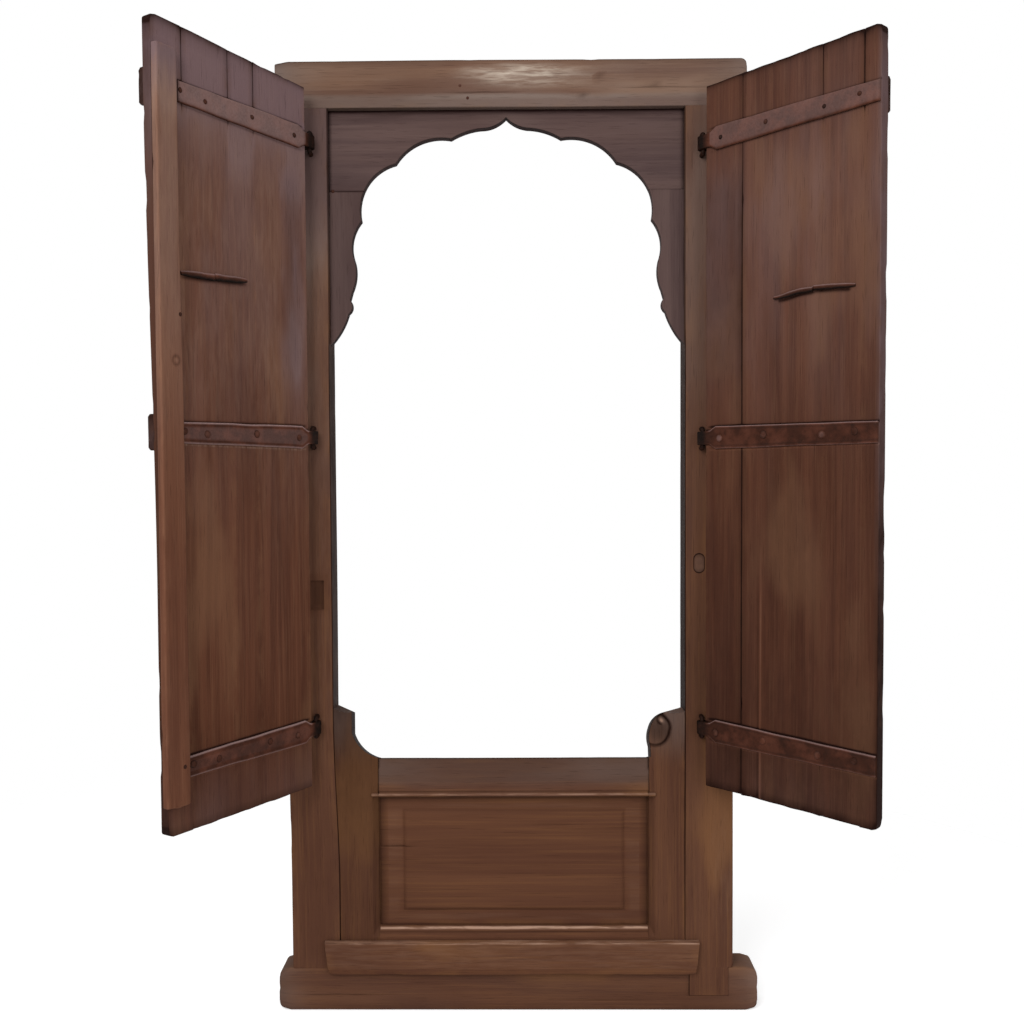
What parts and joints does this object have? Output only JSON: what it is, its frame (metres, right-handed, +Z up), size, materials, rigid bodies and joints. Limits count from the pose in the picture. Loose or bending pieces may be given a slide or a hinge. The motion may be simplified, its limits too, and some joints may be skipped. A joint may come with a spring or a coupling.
{
  "type": "arched timber window frame with hinged shutter leaves",
  "caption": "Old timber window frame with a cusped arch, a panelled dado under the opening and plank leaves that swing open on iron strap hinges.",
  "frame": {"origin": "on the underside of the sill, below the middle of the opening, halfway through the frame", "axes": "+X to the right seen from the side the leaves open to, +Y from that side through the wall, +Z up"},
  "size_m": [1.2754, 0.4139, 1.9],
  "materials": {
    "frame_timber": "old dark red-brown timber, worn and dusty",
    "leaf_timber": "old dark purple-brown planks, worn",
    "arch_timber": "dark grey-brown carved boards",
    "header_timber": "faded brown beam with a pale worn patch",
    "strip_timber": "lighter brown cover strip",
    "forged_iron": "forged iron, rusted brown"
  },
  "bodies": {
    "frame": {"arch_head_board": "arch_timber", "dado_bottom_rail": "frame_timber", "dado_panel": "frame_timber", "dado_top_rail": "frame_timber", "header_beam": "header_timber", "left_arch_cheek": "arch_timber", "left_dado_stile": "frame_timber", "left_hinge_staples": "forged_iron", "left_post": "frame_timber", "plinth_board": "frame_timber", "right_arch_cheek": "arch_timber", "right_dado_stile": "frame_timber", "right_hinge_staples": "forged_iron", "right_post": "frame_timber", "right_post_peg": "frame_timber", "sill_beam": "frame_timber"},
    "left_leaf": {"left_leaf_astragal": "strip_timber", "left_leaf_low_batten": "leaf_timber", "left_leaf_low_strap": "forged_iron", "left_leaf_middle_batten": "leaf_timber", "left_leaf_middle_strap": "forged_iron", "left_leaf_plank_1": "leaf_timber", "left_leaf_plank_2": "leaf_timber", "left_leaf_plank_3": "leaf_timber", "left_leaf_plank_4": "leaf_timber", "left_leaf_ring_pull": "forged_iron", "left_leaf_split_pin": "forged_iron", "left_leaf_top_batten": "leaf_timber", "left_leaf_top_strap": "forged_iron"},
    "right_leaf": {"right_leaf_low_batten": "leaf_timber", "right_leaf_low_strap": "forged_iron", "right_leaf_middle_batten": "leaf_timber", "right_leaf_middle_strap": "forged_iron", "right_leaf_plank_1": "leaf_timber", "right_leaf_plank_2": "leaf_timber", "right_leaf_plank_3": "leaf_timber", "right_leaf_plank_4": "leaf_timber", "right_leaf_ring_pull": "forged_iron", "right_leaf_split_pin": "forged_iron", "right_leaf_top_batten": "leaf_timber", "right_leaf_top_strap": "forged_iron"}
  },
  "joints": [
    {"name": "left_leaf_hinge", "type": "hinge", "parent": "frame", "child": "left_leaf", "pos_m": [-0.385, -0.049, 1.16], "axis": [0, 0, -1], "range_deg": [-122, 23]},
    {"name": "right_leaf_hinge", "type": "hinge", "parent": "frame", "child": "right_leaf", "pos_m": [0.385, -0.049, 1.155], "axis": [0, 0, 1], "range_deg": [-132, 13]}
  ]
}
